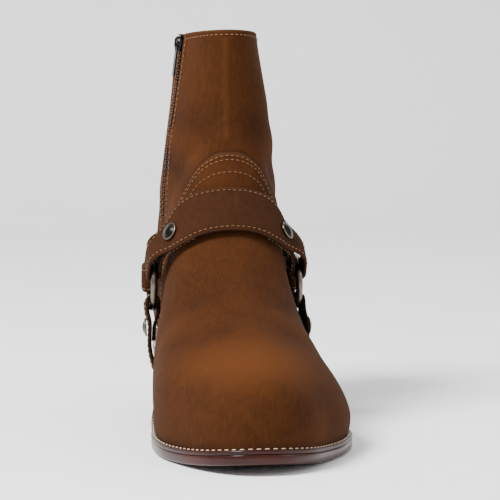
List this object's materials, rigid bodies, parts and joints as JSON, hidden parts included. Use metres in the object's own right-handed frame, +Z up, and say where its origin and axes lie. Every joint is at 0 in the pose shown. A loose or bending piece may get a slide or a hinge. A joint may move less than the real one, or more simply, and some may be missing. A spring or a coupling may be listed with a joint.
{
  "type": "harness boot",
  "caption": "Men's left harness boot in tobacco brown suede, with an inner side zip, riveted ring straps and a stacked heel.",
  "frame": {"origin": "middle of the heel's tread, where it meets the floor", "axes": "+Z up, the toe towards -Y, +X towards the outer side of the foot"},
  "size_m": [0.1095, 0.301, 0.226],
  "materials": {
    "suede": "napped suede, tobacco brown",
    "strap_suede": "napped suede with cut edges",
    "lining_leather": "smooth lining leather",
    "welt_leather": "burnished, stitched",
    "sole_leather": "burnished and waxed edge",
    "rubber": "moulded, matt",
    "nickel": "nickel plated, slightly dulled",
    "gunmetal": "dark plated",
    "zip_fabric": "woven tape"
  },
  "bodies": {
    "boot": {"upper": "suede", "insole": "lining_leather", "outsole": "sole_leather", "welt": "welt_leather", "heel_top_piece": "rubber", "heel_lift_1": "sole_leather", "heel_lift_2": "sole_leather", "heel_lift_3": "sole_leather", "heel_lift_4": "sole_leather", "instep_strap": "strap_suede", "heel_strap": "strap_suede", "side_strap_outer": "strap_suede", "rivet_instep_outer": "nickel", "rivet_heel_outer": "nickel", "rivet_side_outer": "nickel", "side_strap_inner": "strap_suede", "rivet_instep_inner": "nickel", "rivet_heel_inner": "nickel", "rivet_side_inner": "nickel", "zip_tape": "zip_fabric", "zip_stop": "gunmetal", "zip_teeth": "gunmetal", "zip_slider": "gunmetal"},
    "pull_tab": {"zip_pull": "gunmetal"},
    "outer_ring": {"ring_outer": "nickel"},
    "inner_ring": {"ring_inner": "nickel"}
  },
  "joints": [
    {"name": "zip_pull_swing", "type": "hinge", "parent": "boot", "child": "pull_tab", "pos_m": [-0.0248, -0.04614, 0.21977], "axis": [-0.0971, 0.9951, 0.0178], "range_deg": [0, 150]},
    {"name": "outer_ring_turn", "type": "hinge", "parent": "boot", "child": "outer_ring", "pos_m": [0.04069, -0.075, 0.081], "axis": [1, 0, 0], "continuous": true},
    {"name": "inner_ring_turn", "type": "hinge", "parent": "boot", "child": "inner_ring", "pos_m": [-0.04333, -0.075, 0.081], "axis": [1, 0, 0], "continuous": true}
  ]
}
